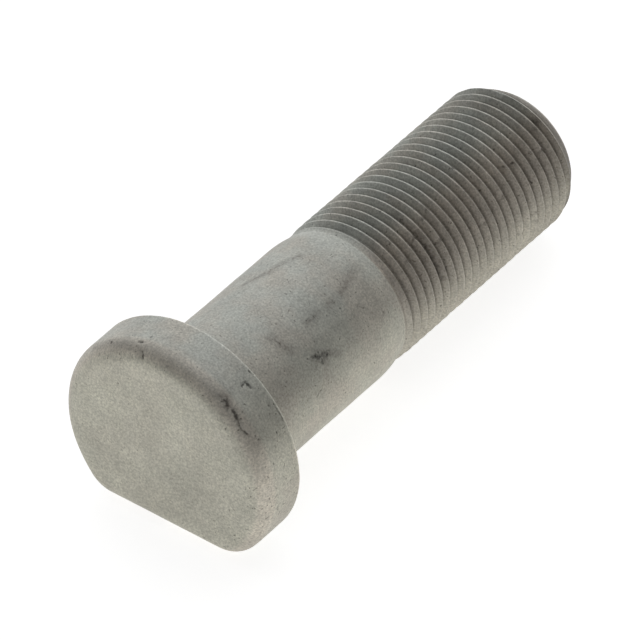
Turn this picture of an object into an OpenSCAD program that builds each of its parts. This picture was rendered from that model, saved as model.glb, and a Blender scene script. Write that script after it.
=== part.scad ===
// Wheel stud: a forged bolt with a D-shaped head, a plain shank and a rolled right-hand thread.
// The axis runs along Y. The origin is on the axis, in the plane under the head that bears on the hub.
// The head lies at -Y with its flat facing down, and the threaded tip points to +Y.

/* [Head] */
// How far the round rim of the head stands out from the shank
rim_step = 5.12; // [4:0.01:9]
// Thickness of the head, from its bearing face to its outer face
head_h = 7.2; // [5:0.1:12]
// How far the flat that stops the stud from turning stands out from the shank
flat_step = 1.3; // [0.9:0.05:2.4]
// Rounding of the edge between the outer face and the sides of the head
face_round = 2.7; // [1:0.1:4]
// Rounding of the two corners between the flat and the rim
corner_round = 4.8; // [4.2:0.1:7]
// Small chamfer on the edge between the sides of the head and the bearing face
back_chamfer = 0.25; // [0.1:0.05:1]
// Fillet between the bearing face and the shank
neck_fillet = 0.8; // [0.2:0.1:0.8]

/* [Shank] */
// How far the plain shank stands out from the crests of the thread
shank_step = 0.2; // [0.05:0.05:1.5]
// Length from the bearing face to the tip
stud_len = 64.4; // [50:0.1:110]
// Length of the thread, from the foot of the shank to the tip
thread_len = 36.2; // [20:0.1:45]
// Radius of the rounding that leads from the shank down to the thread
shoulder_round = 14; // [4:0.5:30]

/* [Thread] */
// Diameter of the thread over its crests
thread_d = 19.95; // [17:0.05:23]
// Pitch of the thread
pitch = 1.5; // [1.25:0.05:2.5]
// Depth of the thread from crest to root, as a share of its pitch
depth_share = 0.6; // [0.5:0.01:0.65]
// How far the blank that the thread is rolled on lies below the crests
blank_drop = 0.3; // [0.1:0.05:0.6]
// Length over which the thread grows out of the blank
runout_len = 2.6; // [1:0.1:6]
// Angle about the axis at which the first crest starts
thread_start = 318; // [0:1:359]
// Length of the chamfer at the tip
tip_chamfer = 2.7; // [1:0.1:4]
// How far the chamfer cuts in from the crests at the end face
tip_drop = 1.8; // [1.2:0.05:3]
// Number of flat facets round the thread
thread_facets = 40; // [24:1:44]

/* [Hidden] */
$fn = 96;
thread_r = thread_d / 2;
shank_r = thread_r + shank_step;
head_r = shank_r + rim_step;
blank_r = thread_r - blank_drop;
tip_r = thread_r - tip_drop;
flat_dist = shank_r + flat_step;
root_r = thread_r - depth_share * pitch;
// Where the plain part ends and the thread begins
thread_z = stud_len - thread_len;
// Height of the shoulder's arc, which meets the shank smoothly and drops to the blank
shoulder_drop = shank_r - blank_r;
shoulder_len = sqrt(pow(shoulder_round, 2) - pow(shoulder_round - shoulder_drop, 2));
// Surfaces that would only just touch cross by this much instead
overlap = 0.03;
// Centres of the two corner roundings, to each side of the axis and towards the flat
corner_y = flat_dist - corner_round - overlap;
corner_x = sqrt(pow(head_r - corner_round - overlap, 2) - pow(corner_y, 2));
corner_angle = atan2(corner_y, corner_x);
// The screw starts this far inside the shank
screw_sink = 0.6;
// Half-width of the crest, and of the root, with 60 degree flanks between them
crest_half = pitch / 16;
root_half = pitch / 2 - crest_half - depth_share * pitch * tan(30);
// One pitch of the profile: distance along the axis, and 1 on the crest or 0 in the root
PROFILE = [
    [-crest_half, 1],
    [crest_half, 1],
    [pitch / 2 - root_half, 0],
    [pitch / 2 + root_half, 0]
];
// Rows that would run past an end are stacked this far apart just inside it
row_gap = 0.04;
screw_z = thread_z - screw_sink;
turns = ceil((stud_len - screw_z) / pitch) + 2;
rows = turns * len(PROFILE);

// Outline of the head: a circle cut straight at the flat, with the two corners rounded
module head_outline() {
    difference() {
        circle(head_r);
        translate([-head_r, flat_dist]) square(2 * head_r);
        for (side = [0, 1])
            mirror([side, 0])
                translate([corner_x, corner_y])
                    difference() {
                        polygon([
                            [0, 0],
                            2 * corner_round * [cos(corner_angle), sin(corner_angle)],
                            2 * corner_round * [1, 1],
                            2 * corner_round * [0, 1]
                        ]);
                        circle(corner_round);
                    }
    }
}

// What is cut from the edges of a side at x = reach, with the outer face at y = 0:
// the rounding of the outer face's edge, and the small chamfer next to the bearing face
module edge_cuts(reach) {
    difference() {
        translate([reach - face_round, -face_round]) square(2 * face_round);
        translate([reach - face_round, face_round]) circle(face_round);
    }
    translate([reach, head_h]) rotate(45) square(sqrt(2) * back_chamfer, center = true);
}

// D-shaped head, with the edge cuts swept all round the rim, along the flat and round both corners
module head() {
    translate([0, 0, -head_h])
        difference() {
            linear_extrude(head_h) head_outline();
            rotate_extrude() edge_cuts(head_r);
            rotate([90, 0, 90])
                translate([0, 0, -head_r])
                    linear_extrude(2 * head_r) edge_cuts(flat_dist);
            for (side = [0, 1])
                mirror([side, 0, 0])
                    translate([corner_x, corner_y, 0])
                        rotate([0, 0, corner_angle])
                            rotate_extrude(angle = 90 - corner_angle) edge_cuts(corner_round);
        }
}

// Plain shank, with the fillet under the head and the rounded shoulder above the thread
module shank() {
    shoulder_z = thread_z - shoulder_len;
    rotate_extrude() {
        translate([0, -neck_fillet]) square([shank_r, shoulder_z + neck_fillet]);
        difference() {
            translate([0, -neck_fillet]) square([shank_r + neck_fillet, 2 * neck_fillet]);
            translate([shank_r + neck_fillet, neck_fillet - overlap]) circle(neck_fillet);
        }
        intersection() {
            translate([shank_r - shoulder_round, shoulder_z]) circle(shoulder_round);
            translate([0, shoulder_z - overlap]) square([shank_r, shoulder_len + overlap]);
        }
    }
}

// How far the thread has grown out of the blank at height z, from 0 to 1
function growth(z) = sin(90 * max(0, min(1, (z - thread_z) / runout_len)));

// Radius of the chamfer's cone at height z
function cone_r(z) = tip_r + (stud_len - z) * (thread_r - tip_r) / tip_chamfer;

// Height of a row at a step round the axis: it climbs one pitch each turn, within the screw's ends
function row_z(row, step) =
    let (spot = PROFILE[row % len(PROFILE)])
    let (turn = floor(row / len(PROFILE)) - 1 + step / thread_facets - thread_start / 360)
    let (z = screw_z + turn * pitch + spot[0])
    max(screw_z + row * row_gap, min(stud_len - (rows - 1 - row) * row_gap, z));

// Radius of a row at height z
function row_r(row, z) =
    let (full_r = PROFILE[row % len(PROFILE)][1] == 1 ? thread_r : root_r)
    min(cone_r(z), blank_r - overlap + (full_r - blank_r + overlap) * growth(z));

// Corner of the screw's surface on a row at a step round the axis
function screw_point(row, step) =
    let (z = row_z(row, step), r = row_r(row, z), turned = 360 * step / thread_facets)
    [r * cos(turned), r * sin(turned), z];

// Right-hand screw: a grid of corners whose rows follow the helix, closed by a flat face at each end
module thread() {
    last = thread_facets - 1;
    lead = len(PROFILE);
    points = [
        for (step = [0:last])
            for (row = [0:rows - 1])
                screw_point(row, step)
    ];
    sides = [
        for (step = [0:last - 1])
            for (row = [0:rows - 2])
                let (a = step * rows + row, b = a + rows)
                each [[a, a + 1, b + 1], [a, b + 1, b]]
    ];
    // The last step joins the first one pitch higher up, with a small fan at each end
    seam = [
        for (row = [0:rows - 2 - lead])
            let (a = last * rows + row, b = row + lead)
            each [[a, a + 1, b + 1], [a, b + 1, b]]
    ];
    fans = [
        for (row = [0:lead - 1])
            each [
                [last * rows, row + 1, row],
                [rows - 1, last * rows + rows - 1 - lead + row, last * rows + rows - lead + row]
            ]
    ];
    caps = [
        [for (step = [0:last]) step * rows],
        [for (step = [last:-1:0]) step * rows + rows - 1]
    ];
    polyhedron(points, concat(sides, seam, fans, caps));
}

// The whole stud is one forging
module wheel_stud() {
    color("#8d8b83")
        rotate([-90, 0, 0]) {
            head();
            shank();
            thread();
        }
}

wheel_stud();
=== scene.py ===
# Wheel stud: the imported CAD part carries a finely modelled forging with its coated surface.
import math
import bmesh
import bpy
from mathutils import Matrix, Vector, noise
from mathutils.kdtree import KDTree


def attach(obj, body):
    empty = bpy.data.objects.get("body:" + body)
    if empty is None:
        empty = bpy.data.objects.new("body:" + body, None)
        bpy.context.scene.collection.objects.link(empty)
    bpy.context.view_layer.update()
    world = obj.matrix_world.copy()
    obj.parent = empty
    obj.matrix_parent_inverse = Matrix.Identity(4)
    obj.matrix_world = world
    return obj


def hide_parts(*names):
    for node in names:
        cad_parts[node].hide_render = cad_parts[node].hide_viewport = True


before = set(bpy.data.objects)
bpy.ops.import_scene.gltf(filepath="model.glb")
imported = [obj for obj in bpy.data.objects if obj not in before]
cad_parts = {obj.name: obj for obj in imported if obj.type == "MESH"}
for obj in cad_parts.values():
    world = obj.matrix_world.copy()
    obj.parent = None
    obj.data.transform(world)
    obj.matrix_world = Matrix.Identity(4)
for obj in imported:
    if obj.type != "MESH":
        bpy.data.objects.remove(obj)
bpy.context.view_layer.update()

scene = bpy.context.scene

# Head. The stud is hot forged from round bar, and its head is a disc that the die leaves straight
# on one side, so that it can't turn against the hub. The section of its side is swept round one
# corner, the rim and the other corner, and then straight along the flat to where it began.
MM = 0.001
ACROSS = (1, 0, 0)
AXIS = (0, 1, 0)
THREAD_R = 9.975 * MM
SHANK_R = THREAD_R + 0.2 * MM
HEAD_R = SHANK_R + 5.12 * MM
FLAT_DIST = SHANK_R + 1.3 * MM
HEAD_H = 7.2 * MM
FACE_ROUND = 2.7 * MM
CORNER_ROUND = 4.8 * MM
BACK_ROUND = 0.25 * MM
RIM_STEPS = 192
CORNER_STEPS = 12
FLAT_STEPS = 40
FACE_ROUND_STEPS = 12
SIDE_STEPS = 12
BACK_ROUND_STEPS = 4
FACE_RINGS = 24
WELD = 0.002 * MM


def sweep(bm, row, centre, axis, degrees, steps, dvec=(0, 0, 0)):
    """Sweep a row of vertices, with the edges along it, about an axis. Gives the last row."""
    inside = set(row)
    edges = [e for e in bm.edges if e.verts[0] in inside and e.verts[1] in inside]
    out = bmesh.ops.spin(bm, geom=list(row) + edges, cent=centre, axis=axis, dvec=dvec,
                         angle=math.radians(degrees), steps=steps)
    return [g for g in out["geom_last"] if isinstance(g, bmesh.types.BMVert)]


def close(bm, rim, middle, count):
    """Close an edge loop with rings that shrink towards a point, and a closed pole."""
    for k in range(count):
        out = bmesh.ops.extrude_edge_only(bm, edges=rim)
        moved = [g for g in out["geom"] if isinstance(g, bmesh.types.BMVert)]
        rim = [g for g in out["geom"] if isinstance(g, bmesh.types.BMEdge) and g.is_boundary]
        left = (count - 1 - k) / (count - k)
        bmesh.ops.scale(bm, vec=(left, 1, left), space=Matrix.Translation(-middle), verts=moved)
    bmesh.ops.remove_doubles(bm, verts=bm.verts, dist=WELD)


corner_down = FLAT_DIST - CORNER_ROUND
corner_side = math.sqrt((HEAD_R - CORNER_ROUND) ** 2 - corner_down ** 2)
corner_degrees = math.degrees(math.atan2(corner_down, corner_side))

# The section stands over the right end of the flat, and is drawn from the outer face to the back
head = bmesh.new()
face_edge = FACE_ROUND - HEAD_H
row = [head.verts.new((corner_side, -HEAD_H, FACE_ROUND - FLAT_DIST))]
row = sweep(head, row, (corner_side, face_edge, FACE_ROUND - FLAT_DIST), ACROSS, 90, FACE_ROUND_STEPS)
side_step = (-BACK_ROUND - face_edge) / SIDE_STEPS
row = sweep(head, row, (0, 0, 0), ACROSS, 0, SIDE_STEPS, (0, side_step, 0))
sweep(head, row, (corner_side, -BACK_ROUND, BACK_ROUND - FLAT_DIST), ACROSS, 90, BACK_ROUND_STEPS)
row = list(head.verts)
row = sweep(head, row, (corner_side, 0, -corner_down), AXIS, corner_degrees - 90, CORNER_STEPS)
row = sweep(head, row, (0, 0, 0), AXIS, -180 - 2 * corner_degrees, RIM_STEPS)
row = sweep(head, row, (-corner_side, 0, -corner_down), AXIS, corner_degrees - 90, CORNER_STEPS)
sweep(head, row, (0, 0, 0), AXIS, 0, FLAT_STEPS, (2 * corner_side / FLAT_STEPS, 0, 0))
bmesh.ops.remove_doubles(head, verts=head.verts, dist=WELD)
outer = [e for e in head.edges if e.is_boundary and e.verts[0].co.y < face_edge]
close(head, outer, Vector((0, -HEAD_H, (HEAD_R - FLAT_DIST) / 2)), FACE_RINGS)

# Shank. It is the bar itself, drawn to size, with a small fillet under the head and a long rounded
# shoulder where it goes down to the slimmer blank of the thread. The head's back edge is drawn in
# over the bearing face to the fillet, and then on along the axis ring by ring.
STUD_LEN = 64.4 * MM
THREAD_LEN = 36.2 * MM
SHOULDER_ROUND = 14 * MM
NECK_FILLET = 0.8 * MM
BLANK_R = THREAD_R - 0.3 * MM
BEARING_RINGS = 8
FILLET_ROWS = 6
SHANK_ROWS = 50
SHOULDER_ROWS = 10

thread_y = STUD_LEN - THREAD_LEN
foot_r = SHANK_R + NECK_FILLET
shoulder_len = math.sqrt(SHOULDER_ROUND ** 2 - (SHOULDER_ROUND - SHANK_R + BLANK_R) ** 2)
shoulder_y = thread_y - shoulder_len
ring = [e for e in head.edges if e.is_boundary]


def next_ring(radius_of, y):
    """Draw the open ring on to the height y, each vertex to the radius that radius_of gives it."""
    out = bmesh.ops.extrude_edge_only(head, edges=ring)
    for g in out["geom"]:
        if isinstance(g, bmesh.types.BMVert):
            old = g.co.xz.length
            new = radius_of(old)
            g.co = (g.co.x * new / old, y, g.co.z * new / old)
    return [g for g in out["geom"] if isinstance(g, bmesh.types.BMEdge) and g.is_boundary]


for k in range(BEARING_RINGS):
    share = 1 / (BEARING_RINGS - k)
    ring = next_ring(lambda old: old + (foot_r - old) * share, 0)
for k in range(FILLET_ROWS):
    turn = math.pi / 2 * (k + 1) / FILLET_ROWS
    ring = next_ring(lambda old: foot_r - NECK_FILLET * math.sin(turn), NECK_FILLET * (1 - math.cos(turn)))
for k in range(SHANK_ROWS):
    row_y = NECK_FILLET + (shoulder_y - NECK_FILLET) * (k + 1) / SHANK_ROWS
    ring = next_ring(lambda old: SHANK_R, row_y)
for k in range(SHOULDER_ROWS):
    along = shoulder_len * (k + 1) / SHOULDER_ROWS
    sunk = SHOULDER_ROUND - math.sqrt(SHOULDER_ROUND ** 2 - along ** 2)
    ring = next_ring(lambda old: SHANK_R - sunk, shoulder_y + along)

# Thread. It is rolled cold between dies: one pitch of its section climbs round the axis as a
# right-hand helix. It grows out of the blank over two turns, and runs out as a shallow groove
# over the cone of the tip.
PITCH = 1.5 * MM
DEPTH = 0.9 * MM
CREST_HALF = PITCH / 16
CREST_SOFT = 0.07 * MM
RUNOUT = 2.6 * MM
TIP_CHAMFER = 2.7 * MM
TIP_DROP = 1.8 * MM
TIP_GROOVE = 0.14 * MM
TIP_FULL = 0.105 * MM
NECK_BAND = 0.05 * MM
THREAD_START = 286
FLANK_DEGREES = 30
CREST_SEGMENTS = 2
SCREW_SINK = 0.6 * MM
TURN_STEPS = 120
END_RINGS = 8

root_half = PITCH / 2 - CREST_HALF - DEPTH * math.tan(math.radians(FLANK_DEGREES))
screw = bmesh.new()
outline = [(-PITCH / 2, -DEPTH), (root_half - PITCH / 2, -DEPTH), (-CREST_HALF, 0), (CREST_HALF, 0),
           (PITCH / 2 - root_half, -DEPTH), (PITCH / 2, -DEPTH)]
tooth = [screw.verts.new((THREAD_R + down, along, 0)) for along, down in outline]
for a, b in zip(tooth, tooth[1:]):
    screw.edges.new((a, b))
bmesh.ops.bevel(screw, geom=tooth[1:-1], offset=CREST_SOFT, offset_type="OFFSET",
                segments=CREST_SEGMENTS, profile=0.5, affect="VERTICES", material=-1)
first_crest = thread_y - SCREW_SINK - PITCH * (1 + THREAD_START / 360)
bmesh.ops.translate(screw, verts=screw.verts, vec=(0, first_crest, 0))
sweep(screw, screw.verts[:], (0, 0, 0), AXIS, 360, TURN_STEPS, (0, PITCH / TURN_STEPS, 0))
turns = 1
while turns * PITCH < THREAD_LEN + 3 * PITCH:
    out = bmesh.ops.duplicate(screw, geom=screw.verts[:] + screw.edges[:] + screw.faces[:])
    copied = [g for g in out["geom"] if isinstance(g, bmesh.types.BMVert)]
    bmesh.ops.translate(screw, verts=copied, vec=(0, turns * PITCH, 0))
    turns *= 2
bmesh.ops.remove_doubles(screw, verts=screw.verts, dist=WELD)
for level, way in ((thread_y + NECK_BAND, -1), (STUD_LEN, 1)):
    bmesh.ops.bisect_plane(screw, geom=screw.verts[:] + screw.edges[:] + screw.faces[:], dist=WELD / 1000,
                           plane_co=(0, level, 0), plane_no=(0, way, 0), clear_outer=True)
for v in screw.verts:
    radius = v.co.xz.length
    grown = math.sin(math.pi / 2 * min(1, max(0, v.co.y - thread_y) / RUNOUT))
    cone = THREAD_R - TIP_DROP * (1 - (STUD_LEN - v.co.y) / TIP_CHAMFER)
    cone += TIP_FULL - TIP_GROOVE * (THREAD_R - radius) / DEPTH
    wanted = min(cone, BLANK_R + (radius - BLANK_R) * grown)
    v.co.x *= wanted / radius
    v.co.z *= wanted / radius
outer = [e for e in screw.edges if e.is_boundary and e.verts[0].co.y > STUD_LEN - WELD]
close(screw, outer, Vector((0, STUD_LEN, 0)), END_RINGS)

# The thread's open end is joined to the shank's, and the stud is one closed shell
scrap = bpy.data.meshes.new("scrap")
screw.to_mesh(scrap)
screw.free()
stud = head
stud.from_mesh(scrap)
bpy.data.meshes.remove(scrap)
bmesh.ops.bridge_loops(stud, edges=[e for e in stud.edges if e.is_boundary])
bmesh.ops.recalc_face_normals(stud, faces=stud.faces)

# Wear. Forging scale and handling have left a crack on the rounded edge, small nicks and pits, and
# worn and nicked crests. Each mark is a run of places, in degrees about the axis, mm along it and
# mm below the outline, with its half width and depth in mm and how dark the dirt in it looks.
NICKS = (
    ([(299.5, -5.9), (301.5, -5.7), (305.0, -5.7)], 0.24, 0.03, 0.50),
    ([(304.0, -5.6), (305.5, -5.7), (307.5, -5.8)], 0.28, 0.08, 0.70),
    ([(307.5, -5.8), (309.0, -6.1)], 0.20, 0.04, 0.55),
    ([(310.0, -5.6), (312.5, -5.7), (314.5, -5.8)], 0.26, 0.12, 0.92),
    ([(314.5, -5.8), (317.5, -6.0), (320.5, -6.0), (323.0, -5.8)], 0.17, 0.06, 0.75),
    ([(308.0, -4.6), (309.0, -4.8), (309.5, -5.1)], 0.14, 0.03, 0.60),
    ([(305.0, -2.6), (304.5, -1.9)], 0.22, 0.07, 0.90),
    ([(304.5, -1.9), (307.5, -1.8)], 0.27, 0.08, 1.00),
    ([(303.0, -1.8), (304.5, -1.9)], 0.14, 0.03, 0.50),
    ([(301.5, -0.4), (303.5, -0.4)], 0.15, 0.05, 0.85),
    ([(320.0, -0.5), (325.0, -0.4), (329.5, -0.4)], 0.14, 0.02, 0.70),
    ([(319.0, -1.2)], 0.20, 0.05, 0.80),
    ([(331.0, -2.1)], 0.20, 0.05, 0.80),
    ([(333.5, -0.9)], 0.18, 0.04, 0.70),
    ([(333.5, -1.8)], 0.18, 0.04, 0.70),
    ([(328.0, -4.9)], 0.23, 0.05, 0.80),
    ([(325.5, -5.1)], 0.18, 0.04, 0.70),
    ([(320.0, -3.1)], 0.16, 0.04, 0.70),
    ([(335.5, -3.1)], 0.19, 0.04, 0.70),
    ([(313.5, -4.9)], 0.18, 0.04, 0.70),
    ([(253.0, -5.4), (255.5, -5.4)], 0.20, 0.08, 0.90),
    ([(258.0, -6.4), (259.0, -6.8)], 0.20, 0.08, 0.95),
    ([(252.0, -6.9)], 0.22, 0.04, 0.60),
    ([(223.5, -4.4)], 0.18, 0.04, 0.70),
    ([(236.5, -5.6)], 0.22, 0.05, 0.80),
    ([(321.5, 11.9), (323.5, 12.9), (326.5, 14.2)], 0.46, 0.02, 0.60),
    ([(322.5, 12.5), (325.0, 13.5)], 0.40, 0.03, 0.78),
    ([(326.5, 13.1), (329.5, 13.0)], 0.22, 0.02, 0.75),
    ([(321.5, 13.1)], 0.23, 0.02, 0.75),
    ([(346.5, 10.4), (344.5, 11.3)], 0.15, 0.02, 0.75),
    ([(322.5, 6.7)], 0.19, 0.03, 0.75),
    ([(288.0, 11.2)], 0.19, 0.02, 0.75),
    ([(290.5, 20.3)], 0.18, 0.02, 0.75),
    ([(308.5, 19.6)], 0.19, 0.02, 0.75),
    ([(315.0, 21.8), (318.5, 22.4)], 0.18, 0.02, 0.65),
    ([(330.5, 24.9)], 0.24, 0.03, 0.75),
    ([(314.0, 13.5)], 0.23, 0.02, 0.60),
    ([(308.0, 52.4, 0.4), (309.5, 53.2, 0.3)], 0.22, 0.07, 0.80),
    ([(310.5, 54.1, 0.3), (312.0, 54.9, 0.3)], 0.26, 0.10, 0.95),
    ([(312.0, 53.6, 0.2)], 0.20, 0.05, 0.60),
    ([(313.0, 57.6, 0.2)], 0.18, 0.04, 0.70),
)
# Soft smears and painted shade, as runs of such places with the half width in mm and how dark they are
SMEARS_AND_SHADE = (
    ([(243.0, 14.9, 0), (247.0, 16.8, 0), (251.5, 18.1, 0), (253.5, 20.1, 0), (259.5, 22.5, 0)], 0.45, 0.34),
    ([(301.5, 14.5, 0), (301.0, 16.5, 0)], 0.55, 0.40),
    ([(302.0, 18.4, 0), (301.5, 19.5, 0)], 0.60, 0.35),
    ([(301.0, 21.1, 0), (298.5, 22.9, 0)], 0.60, 0.36),
    ([(298.5, 22.9, 0), (293.5, 25.4, 0)], 0.60, 0.25),
    ([(293.0, 9.1, 0), (302.5, 9.5, 0), (308.5, 9.8, 0)], 0.60, 0.40),
    ([(327.0, 14.5, 0), (331.5, 15.9, 0)], 0.50, 0.30),
    ([(322.5, 12.5, 0), (326.0, 13.8, 0)], 0.80, 0.40),
    ([(283.0, 36.1, 0.5), (305.0, 36.2, 0.5)], 0.50, 0.50),
    ([(305.0, 36.2, 0.5), (330.0, 36.3, 0.5), (343.0, 36.4, 0.5)], 0.62, 0.70),
    ([(300.0, 34.7, 0.5), (322.0, 34.8, 0.5)], 0.55, 0.40),
    ([(299.0, 61.7, 0.6)], 0.55, 0.90),
    ([(304.0, 60.2, 0.1)], 0.45, 0.70),
    ([(303.5, -5.4, 0), (307.5, -5.8, 0)], 0.60, 0.50),
    ([(310.5, -5.6, 0), (316.0, -5.9, 0)], 0.40, 0.40),
    # The two runs along the head's rounded edge darken its shaded band, partly a stain and partly painted
    # shade
    ([(224.0, -5.7, 0), (236.5, -5.7, 0), (247.0, -5.9, 0), (257.0, -6.1, 0)], 0.55, 0.25),
    ([(300.0, -6.1, 0), (318.0, -6.2, 0), (346.0, -6.2, 0)], 0.80, 0.10),
)
# Nicks in the thread's crests, each as one place
CREST_NICKS = ((296.7, 39.5), (299.1, 38.0), (305.8, 35.1), (297.1, 31.9), (314.1, 32.1), (318.8, 38.1),
               (354.5, 54.7), (2.6, 54.6), (2.7, 51.9), (324.9, 50.1), (318.0, 51.2), (317.9, 59.2),
               (272.5, 54.1), (286.0, 47.2), (331.0, 45.6))
NICK_REACH = 2.5
NICK_RAGGED = 0.6
FINE_CUTS = 3
FINE_MARGIN = 0.2
RUN_STEP = 0.1
RAGGED_SIZE = 0.28 * MM
CREST_NICK = 0.34 * MM
CREST_RAGGED = 0.5
CREST_LOSS = 0.14 * MM
CREST_DIRT = 0.65
CREST_WEAR = 0.07 * MM
CREST_WEAR_SIZE = 1.7 * MM
FORGED_WAVE = 0.035 * MM
FORGED_WAVE_SIZE = 4.0 * MM
THREAD_WAVE = 0.2 * FORGED_WAVE
FORGED_GRAIN = 0.010 * MM
FORGED_GRAIN_SIZE = 0.9 * MM
SHARP_DEGREES = 50


def place_of(degrees, along, sink=0):
    """The point of the stud's surface at an angle about the axis and a place along it, in mm."""
    if along < face_edge / MM:
        reach = HEAD_R - FACE_ROUND + math.sqrt(FACE_ROUND ** 2 - (face_edge - along * MM) ** 2)
    elif along < 0:
        reach = HEAD_R
    else:
        reach = SHANK_R if along < thread_y / MM else THREAD_R
    reach -= sink * MM
    angle = math.radians(degrees)
    return Vector((reach * math.cos(angle), along * MM, -reach * math.sin(angle)))


def reached(places, reach):
    """The vertices near a run of places, each with its distance from the run."""
    corners = [place_of(*place) for place in places]
    run = [corners[0]]
    for a, b in zip(corners, corners[1:]):
        count = max(1, round((b - a).length / (RUN_STEP * MM)))
        run += [a.lerp(b, (k + 1) / count) for k in range(count)]
    near = {}
    for point in run:
        for co, index, distance in tree.find_range(point, reach):
            near[index] = min(distance, near.get(index, reach))
    return near


def index_vertices():
    """A search tree of the stud's vertices as they are now."""
    stud.verts.ensure_lookup_table()
    made = KDTree(len(stud.verts))
    for v in stud.verts:
        made.insert(v.co, v.index)
    made.balance()
    return made


# The shell is cut finer round each nick before it is pressed in
stud.verts.index_update()
tree = index_vertices()
fine = set()
for places, half_width, *others in NICKS:
    fine |= set(reached(places, (NICK_REACH * half_width + FINE_MARGIN) * MM))
for place in CREST_NICKS:
    fine |= set(reached([place], 2 * CREST_NICK + FINE_MARGIN * MM))
near_edges = [e for e in stud.edges if e.verts[0].index in fine and e.verts[1].index in fine]
bmesh.ops.subdivide_edges(stud, edges=near_edges, cuts=FINE_CUTS, use_grid_fill=True)
stud.verts.index_update()
stud.normal_update()
tree = index_vertices()
dirt = stud.verts.layers.float.new("dirt")
stain_and_shade = stud.verts.layers.float.new("stain_and_shade")
sunk = {}
for places, half_width, deep, dark in NICKS:
    for index, distance in reached(places, NICK_REACH * half_width * MM).items():
        v = stud.verts[index]
        width_here = half_width * MM * (1 + NICK_RAGGED * noise.noise(v.co / RAGGED_SIZE))
        share = math.exp(-(distance / width_here) ** 2)
        sunk[index] = max(sunk.get(index, 0), deep * MM * share)
        v[dirt] = max(v[dirt], dark * share)
for places, half_width, dark in SMEARS_AND_SHADE:
    for index, distance in reached(places, 2 * half_width * MM).items():
        v = stud.verts[index]
        v[stain_and_shade] = max(v[stain_and_shade], dark * math.exp(-(distance / (half_width * MM)) ** 2))
for place in CREST_NICKS:
    for index, distance in reached([place], 2 * CREST_NICK).items():
        v = stud.verts[index]
        height = max(0, (v.co.xz.length - THREAD_R + DEPTH) / DEPTH)
        width_here = CREST_NICK * (1 + CREST_RAGGED * noise.noise(v.co / RAGGED_SIZE))
        share = math.exp(-(distance / width_here) ** 2) * height
        sunk[index] = max(sunk.get(index, 0), CREST_LOSS * share)
        v[dirt] = max(v[dirt], CREST_DIRT * share)
for v in stud.verts:
    wave = noise.noise(v.co / FORGED_WAVE_SIZE)
    grain = noise.noise(v.co / FORGED_GRAIN_SIZE + Vector((7, 3, 5)))
    lift = wave * FORGED_WAVE + grain * FORGED_GRAIN - sunk.get(v.index, 0)
    if v.co.y > thread_y:
        height = max(0, (v.co.xz.length - THREAD_R + DEPTH) / DEPTH)
        worn = max(0, noise.noise(v.co / CREST_WEAR_SIZE + Vector((2, 9, 4))))
        lift = wave * THREAD_WAVE - CREST_WEAR * worn * height ** 4 - sunk.get(v.index, 0)
    v.co += v.normal * lift

mesh = bpy.data.meshes.new("wheel_stud_forging")
stud.to_mesh(mesh)
stud.free()
mesh.shade_smooth()
mesh.set_sharp_from_angle(angle=math.radians(SHARP_DEGREES))
forging = bpy.data.objects.new("wheel_stud_forging", mesh)
scene.collection.objects.link(forging)
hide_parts("wheel_stud")
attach(forging, "root")

# Coating. The stud is dipped in a zinc flake coating that is baked on dry: dull grey metal with
# a sandy grain and pinholes, and clouds of a cooler or browner grey, with dirt in its nicks.
GRAIN_SIZE = 0.26 * MM
PIT_SIZE = 0.40 * MM
BLOTCH_SIZE = 1.6 * MM
CLOUD_SIZE = 6.0 * MM
COAT_METALLIC = 0.85
COAT_RELIEF = 0.012 * MM
SIDE_WAY = (0.8, 0, -0.6)
SMOOTH = {"interpolation_type": "SMOOTHSTEP"}
ADD = {"operation": "ADD"}
SUBTRACT = {"operation": "SUBTRACT"}
MULTIPLY = {"operation": "MULTIPLY"}
MULTIPLY_ADD = {"operation": "MULTIPLY_ADD"}
LARGER = {"operation": "MAXIMUM"}
DOT = {"operation": "DOT_PRODUCT"}
COLOURS = {"data_type": "RGBA"}


def linear(hex_colour):
    """A colour that is written as sRGB hex, in linear light."""
    parts = [int(hex_colour[k:k + 2], 16) / 255 for k in (1, 3, 5)]
    return [p / 12.92 if p <= 0.04045 else ((p + 0.055) / 1.055) ** 2.4 for p in parts] + [1]


def node(kind, settings=(), inputs=()):
    """Add a node to the open tree, with its settings and a value, a node or a link for each input."""
    made = nodes.nodes.new(kind)
    for name, value in dict(settings).items():
        setattr(made, name, value)
    for name, value in inputs.items() if isinstance(inputs, dict) else enumerate(inputs):
        if isinstance(value, bpy.types.Node):
            value = value.outputs[0]
        if isinstance(value, bpy.types.NodeSocket):
            nodes.links.new(value, made.inputs[name])
        else:
            made.inputs[name].default_value = value
    return made


coating = bpy.data.materials.new("zinc_flake_coating")
coating.use_nodes = True
nodes = coating.node_tree
nodes.nodes.clear()
place = node("ShaderNodeTexCoord").outputs["Object"]
along = node("ShaderNodeSeparateXYZ", {}, [place]).outputs["Y"]
flat_place = node("ShaderNodeVectorMath", MULTIPLY, [place, (1, 0, 1)])
radius = node("ShaderNodeVectorMath", {"operation": "LENGTH"}, [flat_place]).outputs["Value"]
grain = node("ShaderNodeTexNoise", {}, {"Vector": place, "Scale": 1 / GRAIN_SIZE, "Detail": 3.0,
                                        "Roughness": 0.6})
pit = node("ShaderNodeTexNoise", {}, {"Vector": place, "Scale": 1 / PIT_SIZE, "Detail": 1.0})
blotch = node("ShaderNodeTexNoise", {}, {"Vector": place, "Scale": 1 / BLOTCH_SIZE, "Detail": 4.0})
clouds = node("ShaderNodeTexNoise", {}, {"Vector": place, "Scale": 1 / CLOUD_SIZE, "Detail": 4.0})
cloud = node("ShaderNodeSeparateColor", {}, [clouds.outputs["Color"]])

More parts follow.
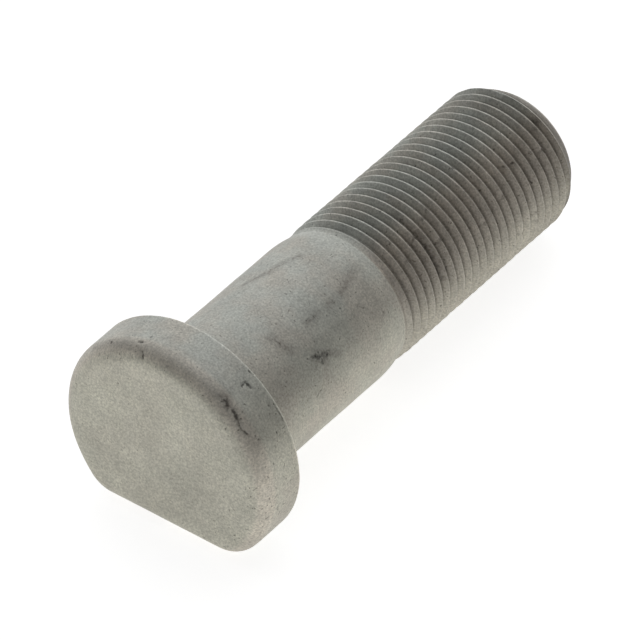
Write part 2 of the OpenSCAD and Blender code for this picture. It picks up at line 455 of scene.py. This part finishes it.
# Where a place is: on the side of the stud that looks right and down, on the head's outer face,
# on its rounded edge, in the thread, on the cone of the tip
side = node("ShaderNodeVectorMath", DOT, [place, SIDE_WAY]).outputs["Value"]
on_side = node("ShaderNodeMapRange", SMOOTH, [side, -6 * MM, 9 * MM, 0.0, 1.0])
on_face = node("ShaderNodeMapRange", SMOOTH, [along, -5.5 * MM, -7.0 * MM, 0.0, 1.0])
past_rim = node("ShaderNodeMapRange", SMOOTH, [along, -4.2 * MM, -5.2 * MM, 0.0, 1.0])
off_face = node("ShaderNodeMapRange", SMOOTH, [along, -7.1 * MM, -6.5 * MM, 0.0, 1.0])
on_round = node("ShaderNodeMath", MULTIPLY, [past_rim, off_face])
in_thread = node("ShaderNodeMath", {"operation": "GREATER_THAN"}, [along, thread_y + NECK_BAND])
past_cone = node("ShaderNodeMath", SUBTRACT, [along, STUD_LEN - TIP_CHAMFER])
past_cone = node("ShaderNodeMath", LARGER, [past_cone, 0.0])
cone_begun = node("ShaderNodeMapRange", SMOOTH, [past_cone, 0.2 * MM, 0.8 * MM, 0.0, 1.0])
cone_left = node("ShaderNodeMapRange", SMOOTH, [past_cone, 2.5 * MM, 2.1 * MM, 0.0, 1.0])
on_cone = node("ShaderNodeMath", MULTIPLY, [cone_begun, cone_left])
cone_slope = -TIP_DROP / TIP_CHAMFER
crest_height = node("ShaderNodeMath", MULTIPLY_ADD, [past_cone, cone_slope, THREAD_R])
below = node("ShaderNodeMath", SUBTRACT, [crest_height, radius])

# The coat's grain, and pinholes that are thickest on the lower right of the rim
grain_tone = node("ShaderNodeMapRange", SMOOTH, [grain, 0.2, 0.8, 0.74, 1.26])
low_side = node("ShaderNodeMapRange", SMOOTH, [side, 7 * MM, 11 * MM, 0.0, 0.06])
on_head = node("ShaderNodeMapRange", SMOOTH, [along, 1 * MM, -1 * MM, 0.0, 1.0])
pit_level = node("ShaderNodeMath", MULTIPLY_ADD, [blotch, 0.25, pit])
pit_level = node("ShaderNodeMath", MULTIPLY_ADD, [low_side, on_head, pit_level])
pit_tone = node("ShaderNodeMapRange", SMOOTH, [pit_level, 0.82, 0.92, 1.0, 0.55])
blotch_tone = node("ShaderNodeMapRange", SMOOTH, [blotch, 0.3, 0.7, 0.93, 1.07])
cloud_tone = node("ShaderNodeMapRange", SMOOTH, [cloud, 0.3, 0.7, 0.94, 1.06])

# The thread's crests are lighter, and its grooves and the tip's cone are darker
# Crests: partly rubbed wear, partly a painted highlight that fades out towards the stud's lower right side
rubbed_and_highlit = node("ShaderNodeMapRange", SMOOTH, [below, 0.16 * MM, 0.03 * MM, 0.0, 1.0])
rub_level = node("ShaderNodeMapRange", SMOOTH, [blotch, 0.35, 0.65, 0.10, 0.24])
highlit_side = node("ShaderNodeMapRange", SMOOTH, [on_side, 0.0, 0.4, 1.0, 0.0])
for share in (rub_level, highlit_side, in_thread):
    rubbed_and_highlit = node("ShaderNodeMath", MULTIPLY, [rubbed_and_highlit, share])
crest_wear_and_highlight = node("ShaderNodeMath", ADD, [rubbed_and_highlit, 1.0])
# Grooves: darker with depth into the thread, partly a darker coat and partly painted shade
groove_coat_and_shade = node("ShaderNodeMapRange", SMOOTH, [below, DEPTH, 0.5 * DEPTH, 0.64, 1.0])
groove_coat_and_shade = node("ShaderNodeMix", {}, {"Factor": in_thread, "A": 1.0, "B": groove_coat_and_shade.outputs[0]})
cone_tone = node("ShaderNodeMapRange", SMOOTH, [on_cone, 0.0, 1.0, 1.0, 0.56])
tip_tone = node("ShaderNodeMapRange", SMOOTH, [along, 53 * MM, 62 * MM, 1.0, 0.93])

# The head's back edge is lighter, partly rubbed and partly a painted highlight, and the shoulder's end
# is a little lighter; painted light and shade follow on the rounded edge, the right side and the top
at_edge = node("ShaderNodeMapRange", SMOOTH, [along, -0.38 * MM, -0.26 * MM, 0.0, 0.25])
at_rim = node("ShaderNodeMapRange", SMOOTH, [radius, HEAD_R - 0.5 * MM, HEAD_R - 0.2 * MM, 0.0, 1.0])
back_edge_rub_and_highlight = node("ShaderNodeMath", MULTIPLY_ADD, [at_edge, at_rim, 1.0])
lip_begun = node("ShaderNodeMapRange", SMOOTH, [along, thread_y - 0.35 * MM, thread_y - 0.1 * MM, 0.0, 0.12])
lip_left = node("ShaderNodeMapRange", SMOOTH, [along, thread_y + 0.1 * MM, thread_y, 0.0, 1.0])
lip_tone = node("ShaderNodeMath", MULTIPLY_ADD, [lip_begun, lip_left, 1.0])
# Painted light on the head's rounded edge, lifting the shade that falls there
round_painted_light = node("ShaderNodeMapRange", SMOOTH, [on_round, 0.0, 1.0, 1.0, 1.12])
# Painted shade: a darker band down the stud's right side, half as strong on the outer face
right_shade_begun = node("ShaderNodeMapRange", SMOOTH, [side, 0.0, 4 * MM, 0.0, -0.17])
right_shade_left = node("ShaderNodeMapRange", SMOOTH, [side, 9 * MM, 5 * MM, 0.0, 1.0])
shade_part = node("ShaderNodeMapRange", SMOOTH, [on_face, 0.0, 1.0, 1.0, 0.5])
right_shade_left = node("ShaderNodeMath", MULTIPLY, [right_shade_left, shade_part])
right_shade_tone = node("ShaderNodeMath", MULTIPLY_ADD, [right_shade_begun, right_shade_left, 1.0])
# Painted shade: a little darker on the stud's top side, half as strong on the outer face
top_shade_begun = node("ShaderNodeMapRange", SMOOTH, [side, -9 * MM, -6 * MM, 0.0, -0.035])
top_shade_left = node("ShaderNodeMapRange", SMOOTH, [side, 0.0, -3 * MM, 0.0, 1.0])
top_shade_left = node("ShaderNodeMath", MULTIPLY, [top_shade_left, shade_part])
top_shade_tone = node("ShaderNodeMath", MULTIPLY_ADD, [top_shade_begun, top_shade_left, 1.0])

# Dirt, smears and painted shade lie where the mesh's own values are high, with an edge that the pits break
# up
ragged = node("ShaderNodeMath", MULTIPLY_ADD, [pit, 1.1, -0.55])
dirt_value = node("ShaderNodeAttribute", {"attribute_name": "dirt"}).outputs["Fac"]
dirt_level = node("ShaderNodeMath", ADD, [dirt_value, ragged])
dirt_tone = node("ShaderNodeMapRange", SMOOTH, [dirt_level, 0.15, 1.05, 1.0, 0.30])
stain_and_shade_value = node("ShaderNodeAttribute", {"attribute_name": "stain_and_shade"}).outputs["Fac"]
stain_and_shade_level = node("ShaderNodeMath", ADD, [blotch, ragged])
stain_and_shade_level = node("ShaderNodeMapRange", SMOOTH, [stain_and_shade_level, 0.25, 0.75, 0.45, 1.25])
stain_and_shade_share = node("ShaderNodeMath", {"operation": "MULTIPLY", "use_clamp": True}, [stain_and_shade_value, stain_and_shade_level])
tone = grain_tone
for factor in (pit_tone, blotch_tone, cloud_tone, crest_wear_and_highlight, groove_coat_and_shade, cone_tone, tip_tone, back_edge_rub_and_highlight,
               lip_tone, round_painted_light, right_shade_tone, top_shade_tone, dirt_tone):
    tone = node("ShaderNodeMath", MULTIPLY, [tone, factor])

# The coat is cool grey on top, a little yellow on the outer face and the side that looks down,
# and browner in clouds, on the head's rounded edge, in the thread and where it is smeared
yellow = node("ShaderNodeMath", LARGER, [on_side, on_face])
colour = node("ShaderNodeMix", COLOURS, {0: yellow, 6: linear("#BDBFB9"), 7: linear("#C3C1B4")})
browner = node("ShaderNodeMapRange", SMOOTH, [cloud.outputs["Green"], 0.40, 0.64, 0.0, 0.4])
face_part = node("ShaderNodeMapRange", SMOOTH, [on_face, 0.0, 1.0, 1.0, 0.3])
browner = node("ShaderNodeMath", MULTIPLY, [browner, face_part])
thread_brown = node("ShaderNodeMapRange", SMOOTH, [side, -6 * MM, 0.0, 0.0, 0.8])
thread_left = node("ShaderNodeMapRange", SMOOTH, [side, 9 * MM, 3 * MM, 0.4, 1.0])
thread_brown = node("ShaderNodeMath", MULTIPLY, [thread_brown, thread_left])
thread_brown = node("ShaderNodeMath", MULTIPLY, [thread_brown, in_thread])
round_brown = node("ShaderNodeMath", MULTIPLY, [on_round, 0.5])
cone_brown = node("ShaderNodeMath", MULTIPLY, [on_cone, 0.6])
for share in (thread_brown, round_brown, cone_brown):
    browner = node("ShaderNodeMath", LARGER, [browner, share])
colour = node("ShaderNodeMix", COLOURS, {0: browner, 6: colour.outputs[2], 7: linear("#C1B8AD")})
colour = node("ShaderNodeMix", COLOURS, {0: stain_and_shade_share, 6: colour.outputs[2], 7: linear("#5E5650")})
colour = node("ShaderNodeVectorMath", {"operation": "SCALE"}, {0: colour.outputs[2], "Scale": tone})
relief = node("ShaderNodeBump", {}, {"Height": grain, "Distance": COAT_RELIEF, "Strength": 1.0})
gloss = node("ShaderNodeMapRange", SMOOTH, [blotch, 0.3, 0.7, 0.57, 0.65])
surface = node("ShaderNodeBsdfPrincipled", {}, {"Base Color": colour, "Roughness": gloss,
                                                "Metallic": COAT_METALLIC, "Normal": relief})
node("ShaderNodeOutputMaterial", {}, [surface])
mesh.materials.append(coating)

# Floor. The stud lies on white paper, on the back edge of its flat and on the last full crest of
# its thread, so the paper leans by about 1.4 degrees.
PAPER_SIZE = 8.0
LAST_CREST_Y = 61.7 * MM
PAPER_GLOW = 0.76
PAPER_WHITE = 0.80
lean = math.atan2(FLAT_DIST - THREAD_R, LAST_CREST_Y + BACK_ROUND)
ground = bmesh.new()
bmesh.ops.create_grid(ground, x_segments=8, y_segments=8, size=PAPER_SIZE / 2)
bmesh.ops.rotate(ground, verts=ground.verts, matrix=Matrix.Rotation(lean, 3, "X"))
bmesh.ops.translate(ground, verts=ground.verts, vec=(0, -BACK_ROUND, -FLAT_DIST))
floor_mesh = bpy.data.meshes.new("studio_floor")
ground.to_mesh(floor_mesh)
ground.free()
floor = bpy.data.objects.new("studio_floor", floor_mesh)
scene.collection.objects.link(floor)

# White paper reads as white to the camera and in the metal's gloss, and keeps the stud's shadow
paper = bpy.data.materials.new("white_paper")
paper.use_nodes = True
nodes = paper.node_tree
nodes.nodes.clear()
path = node("ShaderNodeLightPath")
seen = node("ShaderNodeMath", MULTIPLY, [path.outputs["Is Camera Ray"], PAPER_WHITE])
bounced = [path.outputs["Is Glossy Ray"], path.outputs["Is Transmission Ray"]]
mirrored = node("ShaderNodeMath", LARGER, bounced)
mirrored = node("ShaderNodeMath", MULTIPLY, [mirrored, PAPER_GLOW])
glow_level = node("ShaderNodeMath", LARGER, [seen, mirrored])
glow = node("ShaderNodeEmission", {}, {"Color": linear("#FFFFFF"), "Strength": glow_level})
matt = node("ShaderNodeBsdfDiffuse", {}, {"Color": linear("#CCCCCC")})
both = node("ShaderNodeAddShader", {}, [glow, matt])
node("ShaderNodeOutputMaterial", {}, [both])
floor_mesh.materials.append(paper)

# World. The photograph has the even light of a white room. It is a little brighter low behind the
# stud, where a white wall would stand.
ROOM_LEVEL = 0.17
WALL_LEVEL = 1.05
WALL_AZIMUTH = 126
WALL_HEIGHT = 20
WALL_EDGE = 2.0
wall_turn = Matrix.Rotation(math.radians(WALL_AZIMUTH), 3, "Z")
wall_turn = wall_turn @ Matrix.Rotation(-math.radians(WALL_HEIGHT), 3, "Y")
world = bpy.data.worlds.new("studio_room")
scene.world = world
world.use_nodes = True
nodes = world.node_tree
nodes.nodes.clear()
way = node("ShaderNodeTexCoord").outputs["Generated"]
facing = node("ShaderNodeVectorMath", DOT, [way, wall_turn @ Vector(ACROSS)])
facing = node("ShaderNodeMath", LARGER, [facing.outputs["Value"], 0.0])
facing = node("ShaderNodeMath", {"operation": "POWER"}, [facing, WALL_EDGE])
level = node("ShaderNodeMath", MULTIPLY_ADD, [facing, WALL_LEVEL, ROOM_LEVEL])
room = node("ShaderNodeBackground", {}, {"Color": linear("#FFFFFF"), "Strength": level})
node("ShaderNodeOutputWorld", {}, [room])

# Camera. A long lens looks down at the head's outer face, with the tip at the far upper right. Its
# place was fitted to the stud's outline.
LENS = 432.0
SENSOR = 36.0
FAR_END = 20.0
VIEW_DISTANCE = 928.23 * MM
VIEW_AZIMUTH = 37.170
VIEW_ELEVATION = 41.044
VIEW_ROLL = -0.058
view_point = Vector((-1.005, 25.336, -1.741)) * MM
camera_data = bpy.data.cameras.new("photo_camera")
camera_data.lens = LENS
camera_data.sensor_width = SENSOR
camera_data.clip_end = FAR_END
camera = bpy.data.objects.new("photo_camera", camera_data)
scene.collection.objects.link(camera)
view_turn = (Matrix.Rotation(math.radians(VIEW_AZIMUTH), 4, "Z")
             @ Matrix.Rotation(math.radians(90 - VIEW_ELEVATION), 4, "X")
             @ Matrix.Rotation(math.radians(VIEW_ROLL), 4, "Z"))
camera.matrix_world = Matrix.Translation(view_point) @ view_turn @ Matrix.Translation((0, 0, VIEW_DISTANCE))
scene.camera = camera

# Lamp. One large round soft box hangs over the stud, so that its top is a little lighter than its
# sides and its shadow on the paper is soft.
BOX_SIZE = 1.0
BOX_HEIGHT = 1.2
BOX_POWER = 1.4
light = bpy.data.lights.new("top_box", "AREA")
light.shape = "DISK"
light.size = BOX_SIZE
light.energy = BOX_POWER
lamp = bpy.data.objects.new("top_box", light)
scene.collection.objects.link(lamp)
lamp.location = (0, STUD_LEN / 2, BOX_HEIGHT)

scene.view_settings.view_transform = "Standard"
